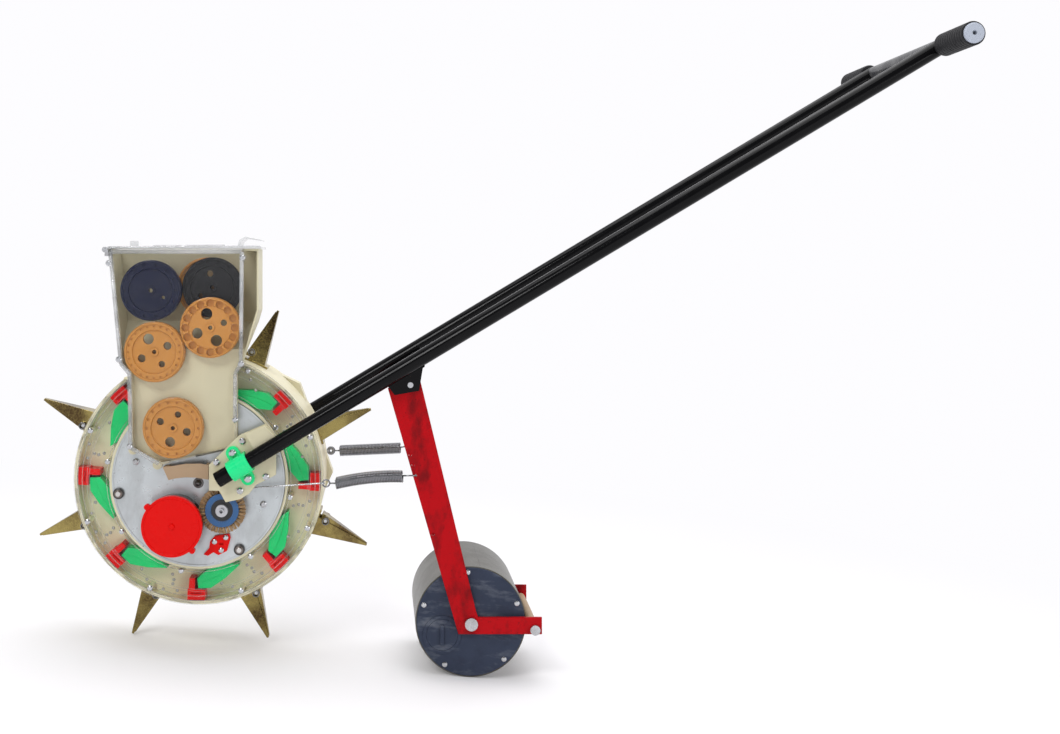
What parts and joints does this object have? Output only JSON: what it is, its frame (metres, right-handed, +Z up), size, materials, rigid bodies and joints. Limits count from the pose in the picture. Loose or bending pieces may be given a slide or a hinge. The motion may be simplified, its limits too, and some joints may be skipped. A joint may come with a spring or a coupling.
{
  "type": "corn planter",
  "caption": "Hand-pushed roller planter with a seed hopper, a drum of opening beaks that drop the grain, a trailing press wheel and a long two-tube handle.",
  "frame": {"origin": "on the floor under the middle of the machine's length and width", "axes": "+X back towards the handle grips, +Y to the far side away from the metering housing, +Z up"},
  "size_m": [1.2416, 0.415, 0.9439],
  "materials": {
    "cream_nylon": "moulded cream nylon",
    "clear_plastic": "clear moulded plastic",
    "green_nylon": "bright green moulded nylon",
    "red_plastic": "red moulded plastic",
    "zinc_steel": "yellow-passivated pressed steel",
    "plain_steel": "bright plated steel",
    "dark_steel": "dark ground steel",
    "black_paint": "gloss black paint on steel tube",
    "grey_tube": "dark grey paint on steel tube",
    "red_paint": "red paint on flat steel",
    "white_plate": "white painted aluminium sheet",
    "black_rubber": "moulded black rubber",
    "grey_plug": "pale grey plastic",
    "galvanised": "galvanised rolled sheet",
    "blue_black_plastic": "dark blue-grey moulded plastic",
    "navy_plastic": "navy moulded plastic",
    "black_plastic": "black moulded plastic",
    "amber_plastic": "amber moulded plastic",
    "blue_plastic": "blue moulded plastic",
    "tan_bristle": "tan bristles",
    "tan_plastic": "tan moulded plastic"
  },
  "bodies": {
    "frame": {"near_side_plate": "white_plate", "far_side_plate": "white_plate", "core_fasteners": "plain_steel", "metering_housing": "dark_steel", "near_handle_tube": "black_paint", "far_handle_tube": "black_paint", "near_bracket": "cream_nylon", "far_bracket": "cream_nylon", "tube_clamps": "green_nylon", "frame_bolts": "plain_steel", "crossbar": "grey_tube", "near_grip": "black_rubber", "far_grip": "black_rubber", "grip_plugs": "grey_plug", "hopper_window": "clear_plastic", "hopper_body": "cream_nylon", "hopper_screws": "plain_steel", "lid_hinge": "plain_steel", "seed_outlet": "tan_plastic", "seed_guard": "red_plastic", "spare_wheel_navy": "navy_plastic", "spare_wheel_black": "black_plastic", "spare_wheels_amber": "amber_plastic", "arm_lugs": "black_paint", "link_wires": "plain_steel", "press_springs": "plain_steel"},
    "drum": {"drum_shell": "cream_nylon", "drum_cover": "clear_plastic", "drum_screws": "plain_steel", "seed_chutes": "green_nylon", "station_gates": "red_plastic", "fixed_beaks": "zinc_steel", "beak_pins": "plain_steel"},
    "metering": {"metering_wheel": "amber_plastic", "metering_gear": "black_plastic"},
    "brush": {"brush_hub": "blue_plastic", "brush_bristles": "tan_bristle"},
    "guide_roller_1": {"guide_roller_1": "dark_steel"},
    "guide_roller_2": {"guide_roller_2": "dark_steel"},
    "guide_roller_3": {"guide_roller_3": "dark_steel"},
    "lid": {"hopper_lid": "clear_plastic"},
    "cap": {"housing_cap": "red_plastic"},
    "press_arm": {"near_press_arm": "red_paint", "far_press_arm": "red_paint", "press_axle": "plain_steel", "scraper_rod": "plain_steel", "scraper_blade": "tan_plastic"},
    "press_wheel": {"press_wheel_skin": "galvanised", "near_end_cap": "blue_black_plastic", "far_end_cap": "blue_black_plastic", "press_screws": "plain_steel"},
    "filler": {"filler_cap": "black_plastic"},
    "moving_beak_1": {"moving_beak_1": "zinc_steel"},
    "moving_beak_2": {"moving_beak_2": "zinc_steel"},
    "moving_beak_3": {"moving_beak_3": "zinc_steel"},
    "moving_beak_4": {"moving_beak_4": "zinc_steel"},
    "moving_beak_5": {"moving_beak_5": "zinc_steel"},
    "moving_beak_6": {"moving_beak_6": "zinc_steel"},
    "moving_beak_7": {"moving_beak_7": "zinc_steel"},
    "moving_beak_8": {"moving_beak_8": "zinc_steel"}
  },
  "joints": [
    {"name": "drum_spin", "type": "hinge", "parent": "frame", "child": "drum", "pos_m": [-0.37574, 0, 0.24576], "axis": [0, -1, 0], "continuous": true},
    {"name": "metering_spin", "type": "hinge", "parent": "frame", "child": "metering", "pos_m": [-0.40318, -0.08, 0.18441], "axis": [0, -1, 0], "continuous": true},
    {"name": "brush_spin", "type": "hinge", "parent": "frame", "child": "brush", "pos_m": [-0.33699, -0.09, 0.20955], "axis": [0, -1, 0], "continuous": true},
    {"name": "roller_1_spin", "type": "hinge", "parent": "frame", "child": "guide_roller_1", "pos_m": [-0.48621, 0, 0.21842], "axis": [0, -1, 0], "continuous": true},
    {"name": "roller_2_spin", "type": "hinge", "parent": "frame", "child": "guide_roller_2", "pos_m": [-0.3103, 0, 0.15265], "axis": [0, -1, 0], "continuous": true},
    {"name": "roller_3_spin", "type": "hinge", "parent": "frame", "child": "guide_roller_3", "pos_m": [-0.33944, 0, 0.35361], "axis": [0, -1, 0], "continuous": true},
    {"name": "lid_open", "type": "hinge", "parent": "frame", "child": "lid", "pos_m": [-0.5272, -0.06, 0.56006], "axis": [0, -1, 0], "range_deg": [0, 100]},
    {"name": "cap_turn", "type": "hinge", "parent": "frame", "child": "cap", "pos_m": [-0.40318, -0.104, 0.18441], "axis": [0, -1, 0], "range_deg": [0, 60]},
    {"name": "press_arm_swing", "type": "hinge", "parent": "frame", "child": "press_arm", "pos_m": [-0.08805, 0, 0.4043], "axis": [0, -1, 0], "range_deg": [-3, 12], "stiffness_Nm_per_rad": 90, "springref_deg": -2.86, "deforming": ["press_springs"]},
    {"name": "press_wheel_spin", "type": "hinge", "parent": "press_arm", "child": "press_wheel", "pos_m": [0.02232, 0, 0.0778], "axis": [0, -1, 0], "continuous": true},
    {"name": "filler_cap_turn", "type": "hinge", "parent": "press_wheel", "child": "filler", "pos_m": [-0.01639, -0.08, 0.05687], "axis": [0, -1, 0], "range_deg": [0, 90]},
    {"name": "beak_1_open", "type": "hinge", "parent": "drum", "child": "moving_beak_1", "pos_m": [-0.20766, 0, 0.3348], "axis": [0, -1, 0], "range_deg": [0, 16], "stiffness_Nm_per_rad": 4, "springref_deg": -8.59},
    {"name": "beak_2_open", "type": "hinge", "parent": "drum", "child": "moving_beak_2", "pos_m": [-0.31985, 0, 0.42757], "axis": [0, -1, 0], "range_deg": [0, 16], "stiffness_Nm_per_rad": 4, "springref_deg": -8.59},
    {"name": "beak_3_open", "type": "hinge", "parent": "drum", "child": "moving_beak_3", "pos_m": [-0.46478, 0, 0.41384], "axis": [0, -1, 0], "range_deg": [0, 16], "stiffness_Nm_per_rad": 4, "springref_deg": -8.59},
    {"name": "beak_4_open", "type": "hinge", "parent": "drum", "child": "moving_beak_4", "pos_m": [-0.55756, 0, 0.30165], "axis": [0, -1, 0], "range_deg": [0, 16], "stiffness_Nm_per_rad": 4, "springref_deg": -8.59},
    {"name": "beak_5_open", "type": "hinge", "parent": "drum", "child": "moving_beak_5", "pos_m": [-0.54383, 0, 0.15671], "axis": [0, -1, 0], "range_deg": [0, 16], "stiffness_Nm_per_rad": 4, "springref_deg": -8.59},
    {"name": "beak_6_open", "type": "hinge", "parent": "drum", "child": "moving_beak_6", "pos_m": [-0.43163, 0, 0.06394], "axis": [0, -1, 0], "range_deg": [0, 16], "stiffness_Nm_per_rad": 4, "springref_deg": -8.59},
    {"name": "beak_7_open", "type": "hinge", "parent": "drum", "child": "moving_beak_7", "pos_m": [-0.2867, 0, 0.07767], "axis": [0, -1, 0], "range_deg": [0, 16], "stiffness_Nm_per_rad": 4, "springref_deg": -8.59},
    {"name": "beak_8_open", "type": "hinge", "parent": "drum", "child": "moving_beak_8", "pos_m": [-0.19392, 0, 0.18986], "axis": [0, -1, 0], "range_deg": [0, 16], "stiffness_Nm_per_rad": 4, "springref_deg": -8.59}
  ],
  "couplings": [
    {"joint": "metering_spin", "follows": "drum_spin", "ratio": 2.3023},
    {"joint": "brush_spin", "follows": "drum_spin", "ratio": -6.1875},
    {"joint": "roller_1_spin", "follows": "drum_spin", "ratio": 14.115},
    {"joint": "roller_2_spin", "follows": "drum_spin", "ratio": 14.115},
    {"joint": "roller_3_spin", "follows": "drum_spin", "ratio": 14.115}
  ]
}
